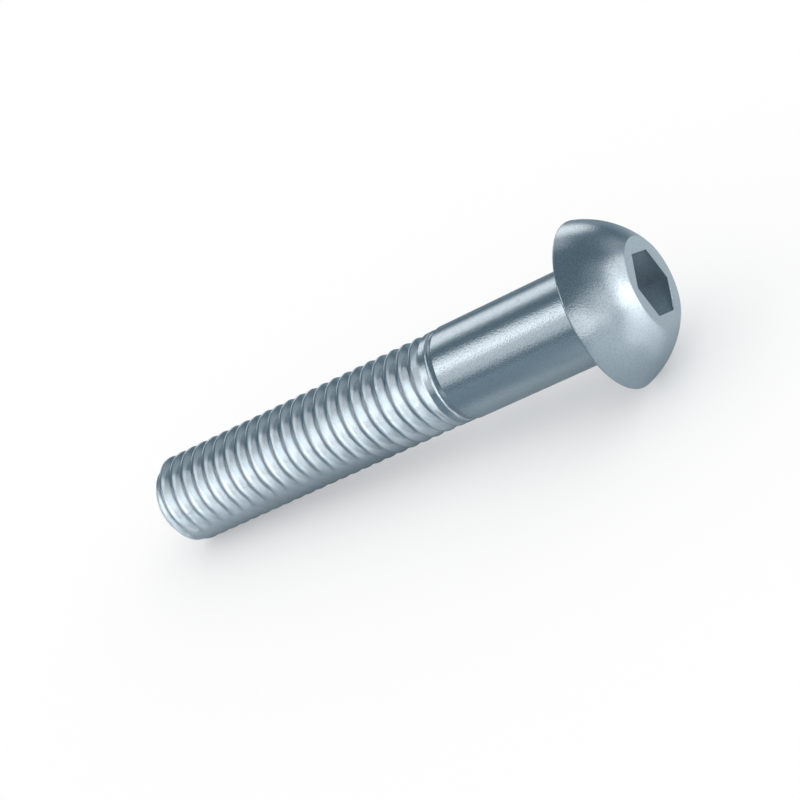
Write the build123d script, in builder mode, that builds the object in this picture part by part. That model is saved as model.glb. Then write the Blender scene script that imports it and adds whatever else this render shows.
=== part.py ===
from build123d import *
from math import atan, ceil, cos, degrees, floor, radians, sin, tan
import os

# Button head socket screw, M8 x 1.25 x 45, with a plain shank and a rolled thread.
# It is one solid: a domed head with a flat top and a hexagon socket, a plain shank that
# tapers down to a short collar, and below it a right-hand metric thread with a chamfered point.
# The screw is modelled upright, with its bearing face at height zero and the head above.
# It is then laid down as it comes to rest: on the rim of its head and on the crest of its
# thread next to the point. The origin is on that surface, under the middle of the screw,
# and the head is towards +X. Sizes are in millimetres and degrees.

# Head
head_diameter = 14.0
head_height = 4.4
head_land = 0.17
rim_chamfer = 0.1
head_flat_diameter = 7.65
dome_radius = 7.9
underhead_radius = 0.4

# Hexagon socket, with a shallow cone at its bottom
socket_across_flats = 5.04
socket_depth = 2.6
socket_cone_depth = 0.6
socket_turn = 37.8

# Plain shank, and the taper from it down to the collar that the thread starts under
screw_length = 45.0
shank_diameter = 8.0
shank_length = 13.93
taper_length = 0.6
taper_drop = 0.22
collar_length = 0.64

# Metric thread: its crest, its 60 degree form and its root
thread_diameter = 7.88
thread_pitch = 1.25
thread_half_angle = 30.0
thread_depth = 0.6134 * thread_pitch
thread_root_flat = thread_pitch / 6

# Chamfered point
point_diameter = 6.1
point_half_angle = 45.0

# Roll of the screw about its own axis where it lies
lying_roll = 200.3

# Sizes that follow from the ones above
head_radius = head_diameter / 2
flat_radius = head_flat_diameter / 2
shank_radius = shank_diameter / 2
crest_radius = thread_diameter / 2
root_radius = crest_radius - thread_depth
point_radius = point_diameter / 2
point_length = (crest_radius - point_radius) / tan(radians(point_half_angle))
taper_radius = shank_radius - taper_drop
taper_end = shank_length + taper_length
collar_top = taper_end + (crest_radius - taper_radius) * tan(radians(thread_half_angle))
groove_top = collar_top + collar_length

# The thread is made in short runs of whole turns, because each meets the next in the same outline
turns_per_run = 4
run_length = turns_per_run * thread_pitch
run_count = floor((screw_length - groove_top - point_length) / run_length)
point_top = groove_top + run_count * run_length
point_run_length = screw_length - point_top

# The groove's cutter stands out a little past the crest, with its flanks carried on
cutter_overlap = 0.03
cutter_radius = crest_radius + cutter_overlap
half_root = thread_root_flat / 2
half_mouth = half_root + (thread_depth + cutter_overlap) * tan(radians(thread_half_angle))
groove_start_angle = 270.0


def groove_cutter(turns):
    """Solid of the thread's groove, from one turn below height zero to one turn above the run."""

    def groove_edge(radius, rise):
        helix = Edge.make_helix(thread_pitch, (turns + 2) * thread_pitch, radius)
        return Pos(0, 0, rise - thread_pitch) * Rot(0, 0, groove_start_angle) * helix

    edges = [
        groove_edge(root_radius, -half_root),
        groove_edge(root_radius, half_root),
        groove_edge(cutter_radius, half_mouth),
        groove_edge(cutter_radius, -half_mouth),
    ]
    sides = [Face.make_surface_from_curves(edges[i - 1], edges[i]) for i in range(len(edges))]
    ends = [Face(Wire.make_polygon([edge @ end for edge in edges])) for end in (0, 1)]
    return Solid(Shell(sides + ends))


def threaded_run(turns):
    """Round bar of whole turns of thread, standing on height zero."""
    with BuildPart() as bar:
        with BuildSketch():
            Circle(crest_radius)
        extrude(amount=turns * thread_pitch)
        add(groove_cutter(turns), mode=Mode.SUBTRACT)
    return bar.part


# Plain turns in the middle of the thread; the first run's groove ends at a flat wall, the collar
middle_run = threaded_run(turns_per_run)

# Point: the last turns, cut to length and chamfered
with BuildPart() as point:
    point_turns = ceil(point_run_length / thread_pitch)
    with Locations((0, 0, -point_top - point_turns * thread_pitch)):
        add(threaded_run(point_turns))
    with BuildSketch(Plane.XZ) as point_section:
        with BuildLine():
            wide_end = point_radius + point_run_length * tan(radians(point_half_angle))
            Polyline(
                (0, -screw_length),
                (point_radius, -screw_length),
                (wide_end, -point_top),
                (0, -point_top),
                close=True,
            )
        make_face()
    revolve(axis=Axis.Z, mode=Mode.INTERSECT)

# Screw: head, shank, taper and collar in one revolve, then the socket and the thread
with BuildPart() as screw:
    with BuildSketch(Plane.XZ) as half_section:
        with BuildLine():
            below_dome = Polyline(
                (0, -groove_top),
                (crest_radius, -groove_top),
                (crest_radius, -collar_top),
                (taper_radius, -taper_end),
                (shank_radius, -shank_length),
                (shank_radius, 0),
                (head_radius - rim_chamfer, 0),
                (head_radius, rim_chamfer),
                (head_radius, head_land),
            )
            dome = RadiusArc(below_dome @ 1, (flat_radius, head_height), -dome_radius)
            Polyline(dome @ 1, (0, head_height), (0, -groove_top))
        make_face()
    revolve(axis=Axis.Z)

    bearing_edges = screw.edges().filter_by(GeomType.CIRCLE).filter_by_position(Axis.Z, 0, 0)
    fillet(bearing_edges.sort_by(SortBy.RADIUS)[0], underhead_radius)

    with BuildSketch(Plane.XY.offset(head_height)) as socket_mouth:
        RegularPolygon(socket_across_flats / 2, 6, major_radius=False, rotation=socket_turn)
    extrude(amount=-socket_depth, mode=Mode.SUBTRACT)
    with BuildSketch(Plane.XZ) as socket_bottom:
        with BuildLine():
            wall_end = head_height - socket_depth
            Polyline(
                (0, wall_end),
                (socket_across_flats / 2, wall_end),
                (0, wall_end - socket_cone_depth),
                close=True,
            )
        make_face()
    revolve(axis=Axis.Z, mode=Mode.SUBTRACT)

    with Locations([(0, 0, -groove_top - (run + 1) * run_length) for run in range(run_count)]):
        add(middle_run)
    add(point.part)

# Rest: the rim of the head and the last crest before the point touch the surface
rest_length = screw_length - point_length + rim_chamfer
rest_tilt = degrees(atan((head_radius - crest_radius) / rest_length))
along = cos(radians(rest_tilt))
up = sin(radians(rest_tilt))
seat_height = head_radius * along - rim_chamfer * up
seat_offset = ((screw_length - head_height) * along + (point_radius - flat_radius) * up) / 2
seat = Plane(origin=(seat_offset, 0, seat_height), x_dir=(-up, 0, along), z_dir=(along, 0, up))

with BuildPart() as lying_screw:
    with Locations(seat.location * Location((0, 0, 0), (0, 0, lying_roll))):
        add(screw.part)

lying_screw.part.label = "screw"
os.makedirs("parts", exist_ok=True)
export_step(lying_screw.part, "parts/screw.step")
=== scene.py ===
"""Zinc plated button head socket screw, lying on a pale studio floor."""

import logging
from dataclasses import dataclass
from enum import Enum
from math import asin, atan, ceil, cos, floor, pi, radians, sin, tan
from typing import Optional, Union

import bmesh
import bpy
from mathutils import Matrix, Vector


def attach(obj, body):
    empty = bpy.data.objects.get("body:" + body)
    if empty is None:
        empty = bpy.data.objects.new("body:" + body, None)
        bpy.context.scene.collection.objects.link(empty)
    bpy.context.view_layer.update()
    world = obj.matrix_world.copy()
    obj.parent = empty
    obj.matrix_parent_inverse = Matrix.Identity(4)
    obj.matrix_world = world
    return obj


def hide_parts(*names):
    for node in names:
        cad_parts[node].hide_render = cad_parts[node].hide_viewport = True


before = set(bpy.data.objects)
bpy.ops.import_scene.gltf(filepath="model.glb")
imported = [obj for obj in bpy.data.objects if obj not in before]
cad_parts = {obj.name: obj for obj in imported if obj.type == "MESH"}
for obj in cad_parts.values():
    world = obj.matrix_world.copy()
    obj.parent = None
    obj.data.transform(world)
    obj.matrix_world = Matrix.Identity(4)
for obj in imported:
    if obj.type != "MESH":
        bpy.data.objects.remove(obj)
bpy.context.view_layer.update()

logging.basicConfig(level=logging.INFO, format="%(message)s")
log = logging.getLogger("button_head_screw")

MM = 0.001
WHITE = (1.0, 1.0, 1.0, 1.0)
Color = tuple[float, float, float]
Fade = tuple[float, float]  # Where a soft step is 0, and where it is 1
Socket = bpy.types.NodeSocket
Value = Union[float, int, tuple, Socket]


class NodeSheet:
    """Adds nodes to one node tree and joins them up."""

    def __init__(self, tree: bpy.types.NodeTree) -> None:
        """Keeps the tree.

        Args:
            tree: The node tree that the nodes go into.
        """
        self.tree = tree

    def feed(self, socket: Socket, value: Value) -> None:
        """Links a socket to another one, or sets its own value.

        Args:
            socket: The input to feed.
            value: An output socket, or a plain value.
        """
        if isinstance(value, Socket):
            self.tree.links.new(value, socket)
        else:
            socket.default_value = value

    def add(self, kind: str, inputs: Optional[dict] = None, **settings: object) -> bpy.types.Node:
        """Adds one node.

        Args:
            kind: Blender's name for the node's type.
            inputs: Values or sockets by input name or number.
            **settings: The node's own options.

        Returns:
            The new node.
        """
        node = self.tree.nodes.new(kind)
        for name, setting in settings.items():
            setattr(node, name, setting)
        for name, value in (inputs or {}).items():
            self.feed(node.inputs[name], value)
        return node

    def math(self, operation: str, *values: Value) -> Socket:
        """Adds a Math node.

        Args:
            operation: The node's operation.
            *values: Its inputs in order.

        Returns:
            The node's result.
        """
        return self.add("ShaderNodeMath", dict(enumerate(values)), operation=operation).outputs[0]

    def ramp(self, value: Value, start: float, end: float) -> Socket:
        """Adds a soft step from 0 to 1.

        Args:
            value: What the step follows.
            start: Where it is 0.
            end: Where it is 1.

        Returns:
            The step's result.
        """
        limits = {"Value": value, "From Min": start, "From Max": end}
        step = self.add("ShaderNodeMapRange", limits, interpolation_type="SMOOTHSTEP")
        return step.outputs["Result"]

    def mix(self, share: Value, first: Value, second: Color) -> Socket:
        """Mixes two colours.

        Args:
            share: The second colour's share.
            first: The colour at a share of zero, or a socket that gives it.
            second: The colour at a share of one.

        Returns:
            The mixed colour.
        """
        # A Mix node has sockets for each type of data, and these are the ones for colours
        factor, color_a, color_b, color_out = 0, 6, 7, 2
        start = first if isinstance(first, Socket) else (*first, 1.0)
        inputs = {factor: share, color_a: start, color_b: (*second, 1.0)}
        return self.add("ShaderNodeMix", inputs, data_type="RGBA").outputs[color_out]


class Outline(Enum):
    """What a ring of the head's mesh follows."""

    ROUND = "round"
    HEXAGON = "hexagon"


@dataclass(frozen=True)
class Ring:
    """One ring of points around the screw's axis.

    The reach is a radius on a round ring and half the width across flats on a hexagon. The
    recess says how much painted shade darkens the plating there, from 0 in the open to 1 at a
    root's middle.
    """

    reach: float
    height: float
    outline: Outline = Outline.ROUND
    recess: float = 0.0


@dataclass(frozen=True)
class ScrewSizes:
    """Sizes of the screw in metres, the same as in the part's source."""

    head_radius: float = 7.0 * MM
    head_height: float = 4.4 * MM
    head_land: float = 0.17 * MM
    rim_chamfer: float = 0.1 * MM
    flat_radius: float = 3.825 * MM
    dome_radius: float = 7.9 * MM
    underhead_radius: float = 0.4 * MM
    socket_half_width: float = 2.52 * MM
    socket_depth: float = 2.6 * MM
    socket_cone_depth: float = 0.6 * MM
    socket_turn: float = radians(37.8)
    length: float = 45.0 * MM
    shank_radius: float = 4.0 * MM
    shank_length: float = 13.93 * MM
    taper_length: float = 0.6 * MM
    taper_drop: float = 0.22 * MM
    collar_length: float = 0.64 * MM
    crest_radius: float = 3.94 * MM
    pitch: float = 1.25 * MM
    half_angle: float = radians(30.0)
    thread_depth: float = 0.6134 * 1.25 * MM
    root_flat: float = 1.25 / 6 * MM
    groove_angle: float = radians(270.0)
    point_radius: float = 3.05 * MM
    point_half_angle: float = radians(45.0)
    lying_roll: float = radians(200.3)

    @property
    def taper_end(self) -> float:
        """Distance from the bearing face to the end of the taper."""
        return self.shank_length + self.taper_length

    @property
    def collar_top(self) -> float:
        """Distance from the bearing face to the collar above the thread."""
        rise = self.crest_radius - self.shank_radius + self.taper_drop
        return self.taper_end + rise * tan(self.half_angle)

    @property
    def groove_top(self) -> float:
        """Distance from the bearing face to the wall that the thread's groove starts at."""
        return self.collar_top + self.collar_length

    @property
    def groove_half_width(self) -> float:
        """Half the width of the groove at the crest."""
        return self.root_flat / 2 + self.thread_depth * tan(self.half_angle)

    def lying(self) -> Matrix:
        """Gives the place of the upright screw where it lies.

        Returns:
            The matrix that lays the screw on the rim of its head and on its thread.
        """
        point_length = (self.crest_radius - self.point_radius) / tan(self.point_half_angle)
        rest_length = self.length - point_length + self.rim_chamfer
        tilt = atan((self.head_radius - self.crest_radius) / rest_length)
        along, up = cos(tilt), sin(tilt)
        reach = (self.length - self.head_height) * along
        offset = (reach + (self.point_radius - self.flat_radius) * up) / 2
        axes = Matrix(((-up, 0, along), (0, -1, 0), (along, 0, up))).to_4x4()
        height = self.head_radius * along - self.rim_chamfer * up
        place = Matrix.Translation((offset, 0, height))
        return place @ axes @ Matrix.Rotation(self.lying_roll, 4, "Z")


@dataclass(frozen=True)
class Softness:
    """How far each edge of the screw is rounded, in metres."""

    rim: float = 0.03 * MM
    flat: float = 0.045 * MM
    socket: float = 0.07 * MM
    taper: float = 0.05 * MM
    crest: float = 0.12 * MM
    root: float = 0.06 * MM
    point: float = 0.06 * MM
    wall: float = 0.03 * MM


@dataclass(frozen=True)
class ThreadRuling:
    """How closely the thread's mesh is ruled, in metres.

    The rows are level at both ends of the thread: until they are past the groove's wall, and
    from a little before the screw's end. Between them they follow the helix. One row keeps to
    each side of a root's middle, at the root line. The round share says how far across its
    round the last row at each rounded edge is.
    """

    level_row: float = 0.03 * MM
    past_wall: float = 0.06 * MM
    before_end: float = 1.6 * MM
    root_line: float = 0.018 * MM
    round_share: float = 0.9
    merged_within: float = 0.002 * MM


@dataclass(frozen=True)
class Noise:
    """Noise that stays fixed to the screw: how fine it is, and how many finer layers it has."""

    scale: float
    detail: float

    def add(self, sheet: NodeSheet) -> Socket:
        """Adds the noise to a finish.

        Args:
            sheet: The sheet of the finish.

        Returns:
            The noise, from 0 to 1.
        """
        place = sheet.add("ShaderNodeTexCoord").outputs["Object"]
        inputs = {"Vector": place, "Scale": self.scale, "Detail": self.detail}
        return sheet.add("ShaderNodeTexNoise", inputs).outputs["Fac"]


@dataclass(frozen=True)
class ZincPlating:
    """Bright bluish zinc plating with a fine grain.

    The dark line along a root and the shade on the flanks beside it are painted shade, which
    darkens the plating in the thread's roots and in the socket. They follow the nearness to the
    root's middle, each raised to the power of its own sharpness, and a noise mottles them.
    """

    name: str = "zinc_plating"
    bright: Color = (0.69, 0.745, 0.78)
    cloudy: Color = (0.64, 0.70, 0.74)
    # Dark colour of the random specks, and of the painted shade in the roots and the socket
    speck_and_shade_color: Color = (0.06, 0.135, 0.19)
    clouds: Noise = Noise(420.0, 4.0)
    grain: Noise = Noise(8000.0, 1.0)
    # Noise that mottles the painted shade
    shade_mottle: Noise = Noise(3000.0, 3.0)
    speck_fade: Fade = (0.46, 0.7)
    speck_shade: float = 0.16
    # Painted shade: how sharp and how dark the line along each root, the shade on the flanks
    # beside it and the shade in the socket are, and how far a noise mottles them
    root_sharpness: float = 20.0
    flank_sharpness: float = 3.0
    flank_shade: float = 0.14
    root_shade: float = 0.52
    shade_mottle_range: float = 0.8
    roughness: float = 0.21
    cloud_roughness: float = 0.1
    recess_roughness: float = 0.4
    grain_depth: float = 0.012 * MM
    thread_grain: float = 0.1

    def material(self) -> bpy.types.Material:
        """Builds the finish.

        Returns:
            The material, which reads object coordinates and the screw's own attributes: recess,
            and turned, which is 1 on the head and shank and 0 on the rolled thread.
        """
        material = bpy.data.materials.new(self.name)
        material.use_nodes = True
        sheet = NodeSheet(material.node_tree)
        shader = material.node_tree.nodes["Principled BSDF"]
        shader.inputs["Metallic"].default_value = 1.0
        recess = sheet.add("ShaderNodeAttribute", attribute_name="recess").outputs["Fac"]
        turned = sheet.add("ShaderNodeAttribute", attribute_name="turned").outputs["Fac"]
        clouds = self.clouds.add(sheet)
        grain = self.grain.add(sheet)
        shade_mottle = self.shade_mottle.add(sheet)

        plating = sheet.mix(clouds, self.cloudy, self.bright)
        specks = sheet.math("MULTIPLY", sheet.ramp(grain, *self.speck_fade), turned)
        specks = sheet.math("MULTIPLY", specks, self.speck_shade)
        plating = sheet.mix(specks, plating, self.speck_and_shade_color)
        # Painted shade: darkens the plating towards the dark colour along the roots, on the
        # flanks beside them and in the socket, mottled by noise
        root = sheet.math("POWER", recess, self.root_sharpness)
        flank = sheet.math("POWER", recess, self.flank_sharpness)
        flank = sheet.math("MULTIPLY", flank, self.flank_shade)
        root = sheet.math("MINIMUM", sheet.math("ADD", root, flank), 1.0)
        least = self.root_shade - self.shade_mottle_range / 2
        mottled_shade = sheet.math("MULTIPLY_ADD", shade_mottle, self.shade_mottle_range, least)
        plating = sheet.mix(sheet.math("MULTIPLY", root, mottled_shade), plating, self.speck_and_shade_color)
        sheet.feed(shader.inputs["Base Color"], plating)

        depth = sheet.math("MULTIPLY_ADD", turned, 1.0 - self.thread_grain, self.thread_grain)
        bump = sheet.add(
            "ShaderNodeBump", {"Height": grain, "Strength": depth, "Distance": self.grain_depth}
        )
        sheet.feed(shader.inputs["Normal"], bump.outputs["Normal"])
        least = self.roughness - self.cloud_roughness / 2
        rough = sheet.math("MULTIPLY_ADD", clouds, self.cloud_roughness, least)
        rough = sheet.math("MULTIPLY_ADD", root, self.recess_roughness, rough)
        sheet.feed(shader.inputs["Roughness"], rough)
        return material


class ThreadTree:
    """Geometry Nodes tree that winds the thread and joins it to the head and shank."""

    def __init__(
        self, sizes: ScrewSizes, softness: Softness, ruling: ThreadRuling, columns: int
    ) -> None:
        """Starts the tree with its named inputs.

        Args:
            sizes: The screw's sizes.
            softness: How far its edges are rounded.
            ruling: How closely the thread's mesh is ruled.
            columns: How many faces go round the screw.
        """
        self.sizes = sizes
        self.softness = softness
        self.ruling = ruling
        self.columns = columns
        self.tree = bpy.data.node_groups.new("wind_thread", "GeometryNodeTree")
        self.values = self._declare()
        self.sheet = NodeSheet(self.tree)
        self.inputs = self.sheet.add("NodeGroupInput").outputs

    def _declare(self) -> dict[str, float]:
        """Declares what the tree takes and gives.

        Returns:
            The value of each size by its socket's identifier.
        """
        s = self.sizes
        named = {
            "Crest Radius": s.crest_radius,
            "Pitch": s.pitch,
            "Thread Depth": s.thread_depth,
            "Flank Slope": 1 / tan(s.half_angle),
            "Groove Half Width": s.groove_half_width,
            "Crest Softness": self.softness.crest,
            "Root Softness": self.softness.root,
            "Point Softness": self.softness.point,
            "Groove Top": s.groove_top,
            "Wall Width": self.softness.wall,
            "Length": s.length,
            "Point Radius": s.point_radius,
            "Point Slope": tan(s.point_half_angle),
            "First Angle": s.socket_turn,
            "Groove Angle": s.groove_angle,
        }
        face = self.tree.interface
        face.new_socket("Head and Shank", in_out="INPUT", socket_type="NodeSocketGeometry")
        values = {}
        for name, value in named.items():
            socket = face.new_socket(name, in_out="INPUT", socket_type="NodeSocketFloat")
            values[socket.identifier] = value
        face.new_socket("Screw", in_out="OUTPUT", socket_type="NodeSocketGeometry")
        return values

    def build(self, material: bpy.types.Material) -> None:
        """Builds the whole tree, ready to be put on the head and shank.

        Args:
            material: The finish of the screw.
        """
        sheet = self.sheet
        wall_start = self.sizes.groove_top - self.softness.wall
        wound_start = self.sizes.groove_top + self.ruling.past_wall
        wound_end = self.sizes.length - self.ruling.before_end
        parts = [
            self._level_rows(wall_start, wound_start),
            self._wound_rows(wound_start, wound_end),
            self._level_rows(wound_end, self.sizes.length),
        ]
        join = sheet.add("GeometryNodeJoinGeometry")
        for part in reversed([self.inputs["Head and Shank"], *parts]):
            sheet.feed(join.inputs[0], part)
        merge = sheet.add(
            "GeometryNodeMergeByDistance",
            {"Geometry": join.outputs[0], "Distance": self.ruling.merged_within},
        )
        smooth = sheet.add("GeometryNodeSetShadeSmooth", {"Geometry": merge.outputs[0]})
        real = sheet.add("GeometryNodeRealizeInstances", {"Geometry": smooth.outputs[0]})
        finish = sheet.add("GeometryNodeSetMaterial", {"Geometry": real.outputs[0]})
        finish.inputs["Material"].default_value = material
        out = sheet.add("NodeGroupOutput")
        sheet.feed(out.inputs["Screw"], finish.outputs[0])

    def _grid(self, rows: int) -> tuple[Socket, Socket, Socket]:
        """Adds a flat grid, with one line of points for each column and row.

        Args:
            rows: How many rows of faces the grid has.

        Returns:
            The grid, the angle round the axis at each point, and its row from the head's side.
        """
        sheet = self.sheet
        grid = sheet.add(
            "GeometryNodeMeshGrid",
            {
                "Size X": float(self.columns),
                "Size Y": float(rows),
                "Vertices X": self.columns + 1,
                "Vertices Y": rows + 1,
            },
        )
        place = sheet.add("GeometryNodeInputPosition").outputs["Position"]
        at = sheet.add("ShaderNodeSeparateXYZ", {"Vector": place}).outputs
        column = sheet.math("ROUND", sheet.math("ADD", at["X"], self.columns / 2))
        share = sheet.math("DIVIDE", column, float(self.columns))
        turn = sheet.math("MULTIPLY", share, 2 * pi)
        angle = sheet.math("ADD", turn, self.inputs["First Angle"])
        row = sheet.math("ROUND", sheet.math("SUBTRACT", rows / 2, at["Y"]))
        return grid.outputs["Mesh"], angle, row

    def _turns_from_groove(self, angle: Socket) -> Socket:
        """Gives an angle in turns from where the groove starts."""
        away = self.sheet.math("SUBTRACT", angle, self.inputs["Groove Angle"])
        return self.sheet.math("DIVIDE", away, 2 * pi)

    def _level_rows(self, start: float, end: float) -> Socket:
        """Makes a stretch of thread from closely spaced level rows.

        Args:
            start: Distance from the bearing face where it starts.
            end: Distance from the bearing face where it ends.

        Returns:
            The stretch of thread.
        """
        rows = ceil((end - start) / self.ruling.level_row)
        grid, angle, row = self._grid(rows)
        reach = self.sheet.math("MULTIPLY_ADD", row, (end - start) / rows, start)
        return self._wrap(grid, angle, reach)

    def _stations(self) -> list[float]:
        """Places the rows of the mesh across one pitch.

        Returns:
            The place of each row, as a share of the pitch from a root's middle.
        """
        s = self.sizes
        mouth = s.groove_half_width
        root = s.root_flat / 2
        root_round = self.softness.root * tan(s.half_angle)
        crest_round = self.softness.crest * tan(s.half_angle)
        half = [
            self.ruling.root_line,
            root - self.ruling.round_share * root_round,
            root,
            root + root_round,
            mouth - crest_round,
            mouth,
            mouth + self.ruling.round_share * crest_round,
        ]
        shares = [distance / s.pitch for distance in half]
        return shares + [1 - share for share in reversed(shares)]

    def _wound_rows(self, start: float, end: float) -> Socket:
        """Makes a stretch of thread whose rows follow its helix.

        Args:
            start: Distance from the bearing face where it starts.
            end: Distance from the bearing face where it ends.

        Returns:
            The stretch of thread, cut level at both ends.
        """
        s = self.sizes
        sheet = self.sheet
        stations = self._stations()
        per_pitch = float(len(stations))
        first_turn = (s.socket_turn - s.groove_angle) / (2 * pi)
        low = floor((start - s.groove_top) / s.pitch + first_turn) - 1
        high = ceil((end - s.groove_top) / s.pitch + first_turn + 1) + 1
        grid, angle, row = self._grid((high - low) * len(stations))
        middle_of_row = sheet.math("ADD", row, 0.5)
        whole = sheet.math("FLOOR", sheet.math("DIVIDE", middle_of_row, per_pitch))
        step = sheet.math("SUBTRACT", row, sheet.math("MULTIPLY", whole, per_pitch))
        pick = sheet.add("GeometryNodeIndexSwitch", data_type="FLOAT")
        while len(pick.index_switch_items) < len(stations):
            pick.index_switch_items.new()
        for index, share_of_pitch in enumerate(stations):
            pick.inputs[index + 1].default_value = share_of_pitch
        sheet.feed(pick.inputs["Index"], step)
        level = sheet.math("ADD", sheet.math("ADD", whole, float(low)), pick.outputs[0])
        turns = sheet.math("SUBTRACT", level, self._turns_from_groove(angle))
        reach = sheet.math("MULTIPLY_ADD", turns, self.inputs["Pitch"], self.inputs["Groove Top"])
        reach = sheet.math("MINIMUM", sheet.math("MAXIMUM", reach, start), end)
        return self._wrap(grid, angle, reach)

    def _wrap(self, grid: Socket, angle: Socket, reach: Socket) -> Socket:
        """Wraps a flat grid round the axis at the thread's own radius.

        Args:
            grid: The flat grid.
            angle: The angle round the axis at each point.
            reach: The distance from the bearing face at each point.

        Returns:
            The wrapped grid, with the nearness to the root's middle kept as its recess.
        """
        sheet = self.sheet
        size = self.inputs
        past = sheet.math("SUBTRACT", reach, size["Groove Top"])
        turns = sheet.math(
            "ADD", self._turns_from_groove(angle), sheet.math("DIVIDE", past, size["Pitch"])
        )
        off = sheet.math("ABSOLUTE", sheet.math("SUBTRACT", turns, sheet.math("ROUND", turns)))
        from_root = sheet.math("MULTIPLY", off, size["Pitch"])
        inside = sheet.math("SUBTRACT", size["Groove Half Width"], from_root)
        flank = sheet.math("MULTIPLY", inside, size["Flank Slope"])
        cut = sheet.math("SMOOTH_MIN", flank, size["Thread Depth"], size["Root Softness"])
        cut = sheet.math("SMOOTH_MAX", cut, 0.0, size["Crest Softness"])
        opened = sheet.math("ADD", sheet.math("DIVIDE", past, size["Wall Width"]), 1.0)
        opened = sheet.math("MINIMUM", sheet.math("MAXIMUM", opened, 0.0), 1.0)
        cut = sheet.math("MULTIPLY", cut, opened)
        form = sheet.math("SUBTRACT", size["Crest Radius"], cut)
        left = sheet.math("SUBTRACT", size["Length"], reach)
        cone = sheet.math("MULTIPLY_ADD", left, size["Point Slope"], size["Point Radius"])
        radius = sheet.math("SMOOTH_MIN", form, cone, size["Point Softness"])
        place = sheet.add(
            "ShaderNodeCombineXYZ",
            {
                "X": sheet.math("MULTIPLY", radius, sheet.math("COSINE", angle)),
                "Y": sheet.math("MULTIPLY", radius, sheet.math("SINE", angle)),
                "Z": sheet.math("MULTIPLY", reach, -1.0),
            },
        )
        # The nearness to the root's middle is kept as recess, which sets the painted shade along
        # the roots
        nearness = sheet.math("DIVIDE", inside, size["Groove Half Width"])
        nearness = sheet.math("MULTIPLY", sheet.math("MAXIMUM", nearness, 0.0), opened)
        kept = sheet.add(
            "GeometryNodeStoreNamedAttribute",
            {"Geometry": grid, "Name": "recess", "Value": nearness},
            data_type="FLOAT",
            domain="POINT",
        )
        wrapped = sheet.add(
            "GeometryNodeSetPosition",
            {"Geometry": kept.outputs["Geometry"], "Position": place.outputs["Vector"]},
        )
        return wrapped.outputs["Geometry"]


class RingStack:
    """Points and faces of rings that are laid one after another."""

    def __init__(self, columns: int) -> None:
        """Starts with nothing laid.

        Args:
            columns: How many points each ring has.
        """
        self.columns = columns
        self.points: list[Vector] = []
        self.recess: list[float] = []
        self.faces: list[tuple[int, ...]] = []

    def _sides(self, start: int) -> list[tuple[int, int]]:
        """Lists the sides of the ring that starts at a point, each by its two points."""
        count = self.columns
        return [(start + index, start + (index + 1) % count) for index in range(count)]

    def lay(self, rings: list[list[Vector]], recess: list[float]) -> tuple[int, int]:
        """Lays rings with a band of faces from each to the next.

        Args:
            rings: The points of each ring.
            recess: The recess of each ring.

        Returns:
            The numbers of the first points of the first ring and of the last.
        """
        first = len(self.points)
        for points, depth in zip(rings, recess):
            self.points.extend(points)
            self.recess.extend([depth] * self.columns)
        last = len(self.points) - self.columns
        for start in range(first, last, self.columns):
            for near, far in self._sides(start):
                self.faces.append((near, far, far + self.columns, near + self.columns))
        return first, last

    def close(self, start: int, centre: Vector, recess: float, turned_over: bool = False) -> None:
        """Closes a ring with a fan of faces round one point.

        Args:
            start: The number of the ring's first point.
            centre: The point in the middle of the fan.
            recess: The recess of that point.
            turned_over: Whether the fan faces the other way.
        """
        middle = len(self.points)
        self.points.append(centre)
        self.recess.append(recess)
        for near, far in self._sides(start):
            self.faces.append((far, near, middle) if turned_over else (near, far, middle))


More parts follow.
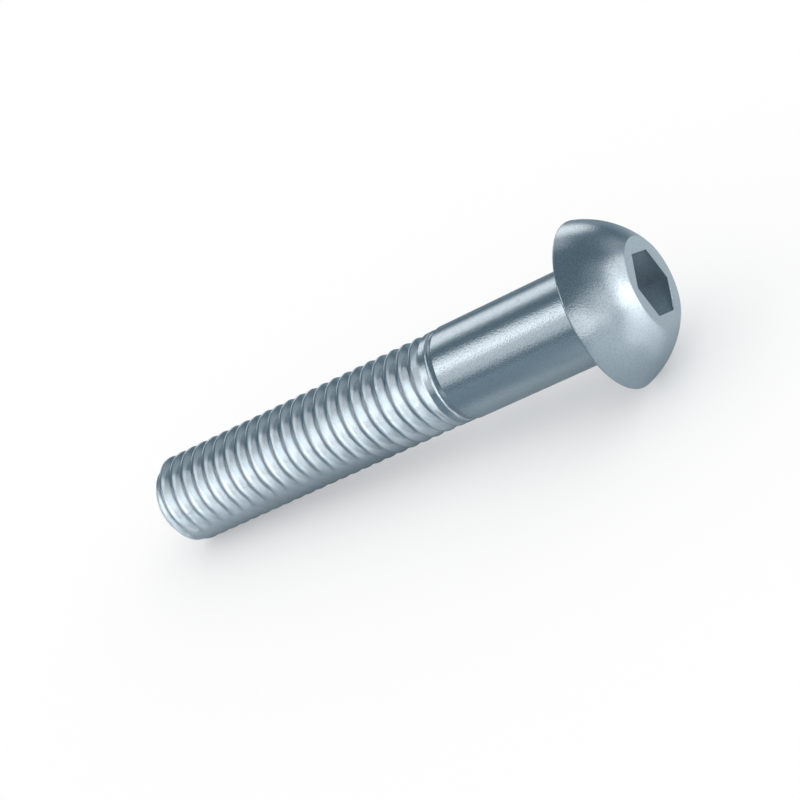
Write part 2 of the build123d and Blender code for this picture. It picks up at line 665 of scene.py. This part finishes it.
@dataclass
class ButtonHeadScrew:
    """The whole screw: one closed mesh of head, socket, shank, thread and point.

    The shares are those of the rings' radii on the socket's bottom and on the point's flat end.
    A point of the dome is left out where it is nearer to the rim or to the flat than the round
    there times the clearance. An edge stays sharp where its faces turn by more than the angle.
    """

    sizes: ScrewSizes = ScrewSizes()
    softness: Softness = Softness()
    ruling: ThreadRuling = ThreadRuling()
    finish: ZincPlating = ZincPlating()
    columns: int = 180
    dome_steps: int = 36
    flat_steps: int = 5
    fillet_steps: int = 8
    shank_rows: int = 8
    socket_rows: int = 6
    # Recess of the socket's walls and bottom, which sets how dark the painted shade in the socket
    # is
    socket_recess: float = 0.935
    cone_shares: tuple[float, ...] = (1.0, 0.75, 0.5, 0.25, 0.1)
    end_shares: tuple[float, ...] = (0.35, 0.7, 1.0)
    round_clearance: float = 1.5
    sharp_angle: float = radians(38.0)
    name: str = "zinc_screw"

    @staticmethod
    def _rounded(
        before: Vector, corner: Vector, after: Vector, reach: float, steps: int = 3
    ) -> list[Vector]:
        """Rounds one corner of an outline.

        Args:
            before: A point that the outline comes from.
            corner: The sharp corner.
            after: A point that the outline goes to.
            reach: How far from the corner the round starts and ends.
            steps: How many faces the round has.

        Returns:
            The points of the round.
        """
        start = corner + (before - corner).normalized() * reach
        end = corner + (after - corner).normalized() * reach
        points = []
        for index in range(steps + 1):
            t = index / steps
            points.append(start * (1 - t) ** 2 + corner * 2 * t * (1 - t) + end * t**2)
        return points

    def _dome(self) -> list[Vector]:
        """Gives the dome's arc.

        Returns:
            Its points, from the rim's land up to the flat top.
        """
        s = self.sizes
        low = Vector((s.head_radius, s.head_land))
        high = Vector((s.flat_radius, s.head_height))
        chord = high - low
        inward = Vector((-chord.y, chord.x)).normalized()
        middle = (low + high) / 2
        drop = (s.dome_radius**2 - (chord.length / 2) ** 2) ** 0.5
        centre = middle + inward * drop
        half = asin(chord.length / 2 / s.dome_radius)
        outward = -inward * s.dome_radius
        points = []
        for index in range(self.dome_steps + 1):
            turn = half * (2 * index / self.dome_steps - 1)
            points.append(centre + Matrix.Rotation(turn, 2) @ outward)
        return points

    def _outside_rings(self) -> list[Ring]:
        """Lists the rings of the outside.

        Returns:
            The rings, from the collar above the thread to the edge of the flat top.
        """
        s, soft = self.sizes, self.softness
        dome = self._dome()
        shank_end = Vector((s.shank_radius, -s.shank_length))
        taper_end = Vector((s.shank_radius - s.taper_drop, -s.taper_end))
        collar_end = Vector((s.crest_radius, soft.wall - s.groove_top))
        collar_top = Vector((s.crest_radius, -s.collar_top))
        under_head = Vector((s.shank_radius, 0.0))
        rim_in = Vector((s.head_radius - s.rim_chamfer, 0.0))
        rim_out = Vector((s.head_radius, s.rim_chamfer))
        top_middle = Vector((0, s.head_height))
        outline = [collar_end, collar_end.lerp(collar_top, 0.5)]
        outline += self._rounded(collar_end, collar_top, taper_end, soft.taper)
        outline += self._rounded(collar_top, taper_end, shank_end, soft.taper)
        outline += self._rounded(taper_end, shank_end, under_head, soft.taper)
        for index in range(1, self.shank_rows):
            outline.append(shank_end.lerp(under_head, index / self.shank_rows))
        fillet = s.underhead_radius
        outline += self._rounded(shank_end, under_head, rim_in, fillet, self.fillet_steps)
        outline.append(under_head.lerp(rim_in, 0.5))
        outline += self._rounded(under_head, rim_in, rim_out, soft.rim)
        outline += self._rounded(rim_in, rim_out, dome[0], soft.rim)
        outline += self._rounded(rim_out, dome[0], dome[2], soft.rim)
        for point in dome:
            past_rim = (point - dome[0]).length > soft.rim * self.round_clearance
            before_flat = (point - dome[-1]).length > soft.flat * self.round_clearance
            if past_rim and before_flat:
                outline.append(point)
        outline += self._rounded(dome[-3], dome[-1], top_middle, soft.flat, self.flat_steps)
        return [Ring(point.x, point.y) for point in outline]

    def _socket_rings(self) -> list[Ring]:
        """Lists the rings of the socket.

        Returns:
            The rings, from the socket's mouth down its walls and in over its bottom.
        """
        s = self.sizes
        half = s.socket_half_width
        wall_end = s.head_height - s.socket_depth
        flat = Vector((s.flat_radius, s.head_height))
        corner = Vector((half, s.head_height))
        edge = self._rounded(flat, corner, Vector((half, wall_end)), self.softness.socket)
        rings = [Ring(point.x, point.y, Outline.HEXAGON) for point in edge[:-1]]
        for index in range(self.socket_rows + 1):
            height = edge[-1].y + (wall_end - edge[-1].y) * index / self.socket_rows
            rings.append(Ring(half, height, Outline.HEXAGON, self.socket_recess))
        for share in self.cone_shares:
            height = wall_end - s.socket_cone_depth * (1 - share)
            rings.append(Ring(half * share, height, Outline.ROUND, self.socket_recess))
        return rings

    def _ring_points(self, ring: Ring) -> list[Vector]:
        """Gives the points of one ring.

        Args:
            ring: The ring.

        Returns:
            One point for each column.
        """
        points = []
        sixth = pi / 3
        for index in range(self.columns):
            turn = 2 * pi * index / self.columns
            reach = ring.reach
            if ring.outline is Outline.HEXAGON:
                reach /= cos(turn % sixth - sixth / 2)
            angle = turn + self.sizes.socket_turn
            points.append(Vector((reach * cos(angle), reach * sin(angle), ring.height)))
        return points

    def _head_and_shank(self) -> bpy.types.Object:
        """Builds the head, the socket, the shank and the flat end of the point.

        Returns:
            An object that is open between the shank and the point's end.
        """
        s = self.sizes
        stack = RingStack(self.columns)
        rings = self._outside_rings() + self._socket_rings()
        _, last = stack.lay(
            [self._ring_points(ring) for ring in rings], [ring.recess for ring in rings]
        )
        bottom = Vector((0, 0, s.head_height - s.socket_depth - s.socket_cone_depth))
        stack.close(last, bottom, self.socket_recess)
        rings = [Ring(s.point_radius * share, -s.length) for share in self.end_shares]
        first, _ = stack.lay(
            [self._ring_points(ring) for ring in rings], [ring.recess for ring in rings]
        )
        stack.close(first, Vector((0, 0, -s.length)), 0.0, turned_over=True)

        mesh = bpy.data.meshes.new("head_and_shank")
        mesh.from_pydata(stack.points, [], stack.faces)
        turned = [1.0] * len(stack.points)
        # recess sets the painted shade in the finish, and turned marks the head and shank
        for name, values in (("recess", stack.recess), ("turned", turned)):
            kept = mesh.attributes.new(name, "FLOAT", "POINT")
            kept.data.foreach_set("value", values)
        blank = bpy.data.objects.new("head_and_shank", mesh)
        bpy.context.scene.collection.objects.link(blank)
        return blank

    def build(self) -> bpy.types.Object:
        """Builds the screw where it lies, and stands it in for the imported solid.

        Returns:
            The finished screw.
        """
        blank = self._head_and_shank()
        thread = ThreadTree(self.sizes, self.softness, self.ruling, self.columns)
        thread.build(self.finish.material())
        modifier = blank.modifiers.new("thread", "NODES")
        modifier.node_group = thread.tree
        for identifier, value in thread.values.items():
            modifier[identifier] = value
        graph = bpy.context.evaluated_depsgraph_get()
        mesh = bpy.data.meshes.new_from_object(blank.evaluated_get(graph))
        bpy.data.objects.remove(blank)
        mesh.transform(self.sizes.lying())
        mesh.set_sharp_from_angle(angle=self.sharp_angle)
        mesh.name = self.name
        screw = bpy.data.objects.new(self.name, mesh)
        bpy.context.scene.collection.objects.link(screw)
        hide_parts("screw")
        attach(screw, "root")
        return screw


@dataclass(frozen=True)
class ProductCamera:
    """The camera, which is rolled so that the screw points up to the right."""

    place: Vector = Vector((0.0852858, -0.1289706, 0.0877929))
    right: Vector = Vector((0.814988, 0.189898, -0.547479))
    up: Vector = Vector((0.314070, 0.649228, 0.692722))
    lens: float = 96.694
    sensor_width: float = 36.0
    clip_start: float = 0.01
    name: str = "product_camera"

    @property
    def back(self) -> Vector:
        """Direction from the screw to the camera."""
        return self.right.cross(self.up)

    def bearing(self, right: float, up: float) -> Vector:
        """Turns a bearing round the screw into a direction in the scene.

        Args:
            right: Degrees to the camera's right, from 0 at the camera itself.
            up: Degrees up.

        Returns:
            The direction, of length one.
        """
        lon, lat = radians(right), radians(up)
        level = self.right * sin(lon) * cos(lat) + self.back * cos(lon) * cos(lat)
        return (level + self.up * sin(lat)).normalized()

    def build(self) -> None:
        """Puts the camera in the scene."""
        data = bpy.data.cameras.new(self.name)
        data.lens = self.lens
        data.sensor_width = self.sensor_width
        data.clip_start = self.clip_start
        camera = bpy.data.objects.new(self.name, data)
        axes = Matrix((self.right, self.up, self.back)).transposed().to_4x4()
        camera.matrix_world = Matrix.Translation(self.place) @ axes
        bpy.context.scene.collection.objects.link(camera)
        bpy.context.scene.camera = camera


def staged(name: str, mesh: bpy.types.Mesh, material: bpy.types.Material) -> bpy.types.Object:
    """Puts a mesh in the scene as part of the studio.

    Args:
        name: The object's name.
        mesh: Its mesh.
        material: Its finish.

    Returns:
        The new object.
    """
    mesh.materials.append(material)
    piece = bpy.data.objects.new(name, mesh)
    bpy.context.scene.collection.objects.link(piece)
    return piece


def mirrored_only(piece: bpy.types.Object) -> None:
    """Leaves a piece of the studio visible in the metal alone.

    Args:
        piece: The piece.
    """
    piece.visible_camera = False
    piece.visible_diffuse = False
    piece.visible_transmission = False
    piece.visible_volume_scatter = False
    piece.visible_shadow = False


def matte(name: str) -> bpy.types.Material:
    """Starts a finish with no gloss at all.

    Args:
        name: The material's name.

    Returns:
        The material.
    """
    material = bpy.data.materials.new(name)
    material.use_nodes = True
    shader = material.node_tree.nodes["Principled BSDF"]
    shader.inputs["Roughness"].default_value = 1.0
    shader.inputs["Specular IOR Level"].default_value = 0.0
    return material


@dataclass(frozen=True)
class Glow:
    """A soft bright patch on the light tent.

    The bearing is in degrees as the camera sees it from the screw: to its right, and up. The
    patch is full out to its inner angle and gone at its outer one.
    """

    right: float
    up: float
    inner: float
    outer: float
    strength: float


@dataclass(frozen=True)
class LightTent:
    """Dark slate shell with soft bright patches, which only the metal shows."""

    radius: float = 1.5
    subdivisions: int = 4
    base: Color = (0.115, 0.17, 0.208)
    glows: tuple[Glow, ...] = (
        Glow(-124.0, 37.0, 4.0, 23.0, 0.88),
        Glow(-168.0, 52.0, 4.0, 19.0, 0.95),
        Glow(-124.0, 67.0, 2.0, 15.0, 0.25),
        Glow(-71.0, 5.0, 7.0, 19.0, 0.84),
        Glow(-61.0, -13.0, 6.0, 30.0, 0.52),
        Glow(-12.0, -14.0, 2.0, 26.0, 0.72),
        Glow(14.0, -17.0, 4.0, 20.0, 0.3),
        Glow(8.0, 8.0, 6.0, 30.0, 0.25),
        Glow(30.0, 8.0, 6.0, 36.0, 0.32),
        Glow(20.0, 44.0, 5.0, 25.0, 0.12),
        Glow(54.0, 42.0, 5.0, 30.0, 0.22),
        Glow(50.0, 14.0, 6.0, 24.0, 0.34),
        Glow(98.0, 58.0, 5.0, 26.0, 0.2),
    )
    name: str = "light_tent"

    def _material(self, camera: ProductCamera) -> bpy.types.Material:
        """Makes the tent's glowing cloth.

        Args:
            camera: The camera that the patches are placed from.

        Returns:
            The material.
        """
        material = bpy.data.materials.new(self.name)
        material.use_nodes = True
        material.node_tree.nodes.clear()
        material.cycles.emission_sampling = "NONE"
        sheet = NodeSheet(material.node_tree)
        place = sheet.add("ShaderNodeTexCoord").outputs["Object"]
        ray = sheet.add("ShaderNodeVectorMath", {0: place}, operation="NORMALIZE").outputs[0]
        total = None
        for glow in self.glows:
            aim = tuple(camera.bearing(glow.right, glow.up))
            near = sheet.add("ShaderNodeVectorMath", {0: ray, 1: aim}, operation="DOT_PRODUCT")
            share = sheet.add(
                "ShaderNodeMapRange",
                {
                    "Value": near.outputs["Value"],
                    "From Min": cos(radians(glow.outer)),
                    "From Max": cos(radians(glow.inner)),
                },
                interpolation_type="SMOOTHERSTEP",
            ).outputs["Result"]
            lit = sheet.math("MULTIPLY", share, glow.strength)
            total = lit if total is None else sheet.math("ADD", total, lit)
        base = sheet.add("ShaderNodeCombineXYZ", dict(enumerate(self.base))).outputs[0]
        color = sheet.add("ShaderNodeVectorMath", {0: base, 1: total}, operation="ADD").outputs[0]
        light = sheet.add("ShaderNodeEmission", {"Color": color})
        out = sheet.add("ShaderNodeOutputMaterial")
        sheet.feed(out.inputs["Surface"], light.outputs[0])
        return material

    def build(self, camera: ProductCamera) -> None:
        """Puts up the tent.

        Args:
            camera: The camera that the patches are placed from.
        """
        mesh = bpy.data.meshes.new(self.name)
        shell = bmesh.new()
        bmesh.ops.create_icosphere(shell, subdivisions=self.subdivisions, radius=self.radius)
        shell.to_mesh(mesh)
        shell.free()
        mirrored_only(staged(self.name, mesh, self._material(camera)))


@dataclass(frozen=True)
class StudioFloor:
    """Pale floor, which is lifted to white and keeps the screw's shadow."""

    half: float = 6.0
    color: Color = (0.7, 0.7, 0.7)
    lift: float = 0.3
    name: str = "studio_floor"

    def build(self) -> None:
        """Lays the floor."""
        half = self.half
        mesh = bpy.data.meshes.new(self.name)
        corners = [(-half, -half, 0), (half, -half, 0), (half, half, 0), (-half, half, 0)]
        mesh.from_pydata(corners, [], [(0, 1, 2, 3)])
        material = matte(self.name)
        shader = material.node_tree.nodes["Principled BSDF"]
        shader.inputs["Base Color"].default_value = (*self.color, 1.0)
        shader.inputs["Emission Color"].default_value = WHITE
        sheet = NodeSheet(material.node_tree)
        path = sheet.add("ShaderNodeLightPath").outputs
        seen = sheet.math("MAXIMUM", path["Is Camera Ray"], path["Is Glossy Ray"])
        seen = sheet.math("MAXIMUM", seen, path["Is Transmission Ray"])
        sheet.feed(shader.inputs["Emission Strength"], sheet.math("MULTIPLY", seen, self.lift))
        staged(self.name, mesh, material)


@dataclass(frozen=True)
class GroundCard:
    """Grey card on the floor, paler past the screw's ends and under it, for the metal alone.

    The card's greys are painted reflection, which the metal mirrors instead of the floor. The
    fades are distances in metres. By the slants, a place further to the side has to be
    further past the head or the point to be as pale.
    """

    radius: float = 1.4
    corners: int = 64
    above_floor: float = 0.02 * MM
    dark: Color = (0.212, 0.287, 0.337)
    pale: Color = (0.53, 0.6, 0.64)
    ends_fade: Fade = (0.0, 0.028)
    head_slant: float = 0.2
    point_slant: float = 0.7
    far_side_fade: Fade = (0.09, 0.03)
    past_point_fade: Fade = (-0.085, -0.045)
    beneath_fade: Fade = (0.011, 0.005)
    shank_fade: Fade = (-0.002, 0.007)
    beneath_share: float = 0.9
    name: str = "ground_card"

    def _material(self) -> bpy.types.Material:
        """Makes the card's matte grey.

        Returns:
            The material.
        """
        material = matte(self.name)
        shader = material.node_tree.nodes["Principled BSDF"]
        sheet = NodeSheet(material.node_tree)
        place = sheet.add("ShaderNodeTexCoord").outputs["Object"]
        at = sheet.add("ShaderNodeSeparateXYZ", {"Vector": place}).outputs
        beside = sheet.math("ABSOLUTE", at["Y"])
        # Painted reflection: the card is paler past the screw's ends and under it, and dark
        # elsewhere, where the metal mirrors it
        past_head = sheet.math("MULTIPLY_ADD", beside, -self.head_slant, at["X"])
        to_point = sheet.math("MULTIPLY", at["X"], -1.0)
        past_point = sheet.math("MULTIPLY_ADD", beside, -self.point_slant, to_point)
        past_ends = sheet.math("MAXIMUM", past_head, past_point)
        ends = sheet.ramp(past_ends, *self.ends_fade)
        ends = sheet.math("MULTIPLY", ends, sheet.ramp(at["Y"], *self.far_side_fade))
        ends = sheet.math("MULTIPLY", ends, sheet.ramp(at["X"], *self.past_point_fade))
        beneath = sheet.ramp(beside, *self.beneath_fade)
        beneath = sheet.math("MULTIPLY", beneath, sheet.ramp(at["X"], *self.shank_fade))
        beneath = sheet.math("MULTIPLY", beneath, self.beneath_share)
        color = sheet.mix(sheet.math("MAXIMUM", ends, beneath), self.dark, self.pale)
        sheet.feed(shader.inputs["Base Color"], color)
        return material

    def build(self) -> None:
        """Lays the card."""
        mesh = bpy.data.meshes.new(self.name)
        disc = bmesh.new()
        bmesh.ops.create_circle(disc, cap_ends=True, segments=self.corners, radius=self.radius)
        disc.to_mesh(mesh)
        disc.free()
        mesh.transform(Matrix.Translation((0.0, 0.0, self.above_floor)))
        mirrored_only(staged(self.name, mesh, self._material()))


@dataclass(frozen=True)
class SoftLamp:
    """A round lamp that brightens the sides of the thread that face the head.

    The bearing is given as for a glow, and the lamp's width as an angle in degrees.
    """

    name: str
    right: float
    up: float
    width: float
    strength: float

    def build(self, camera: ProductCamera, distance: float) -> None:
        """Hangs the lamp, which shines past the screw's own ridges.

        Args:
            camera: The camera that the lamp is placed from.
            distance: How far from the screw it hangs.
        """
        radius = distance * tan(radians(self.width / 2))
        data = bpy.data.lights.new(self.name, "AREA")
        data.shape = "DISK"
        data.size = 2 * radius
        data.energy = self.strength * (pi * radius) ** 2
        data.use_shadow = False
        data.cycles.use_multiple_importance_sampling = False
        lamp = bpy.data.objects.new(self.name, data)
        towards = camera.bearing(self.right, self.up)
        lamp.location = towards * distance
        lamp.rotation_euler = (-towards).to_track_quat("-Z", "Y").to_euler()
        lamp.visible_diffuse = False
        bpy.context.scene.collection.objects.link(lamp)


@dataclass(frozen=True)
class Studio:
    """Camera, white world, pale floor, what the metal mirrors, and the soft lamps."""

    camera: ProductCamera = ProductCamera()
    ground: StudioFloor = StudioFloor()
    card: GroundCard = GroundCard()
    tent: LightTent = LightTent()
    lamps: tuple[SoftLamp, ...] = (
        SoftLamp("head_lamp", 54.0, 14.0, 40.0, 0.52),
        SoftLamp("halo_lamp", 57.0, 33.0, 56.0, 0.57),
        SoftLamp("low_lamp", 64.0, -13.0, 38.0, 0.36),
        SoftLamp("side_lamp", 99.0, -12.0, 34.0, 0.19),
    )
    lamp_distance: float = 1.0

    def _world(self) -> None:
        """Makes the surroundings plain white, which lights the floor softly."""
        world = bpy.data.worlds.new("studio")
        bpy.context.scene.world = world
        world.use_nodes = True
        world.node_tree.nodes["Background"].inputs["Color"].default_value = WHITE

    def build(self) -> None:
        """Builds the studio round the screw."""
        self.camera.build()
        self._world()
        self.ground.build()
        self.card.build()
        self.tent.build(self.camera)
        for lamp in self.lamps:
            lamp.build(self.camera, self.lamp_distance)
        bpy.context.scene.view_settings.view_transform = "Standard"


def main() -> None:
    """Builds the screw and the studio."""
    screw = ButtonHeadScrew().build()
    log.info("%s: %d faces", screw.name, len(screw.data.polygons))
    studio = Studio()
    studio.build()
    log.info("studio: floor, card, tent and %d lamps", len(studio.lamps))


if __name__ == "__main__":
    main()
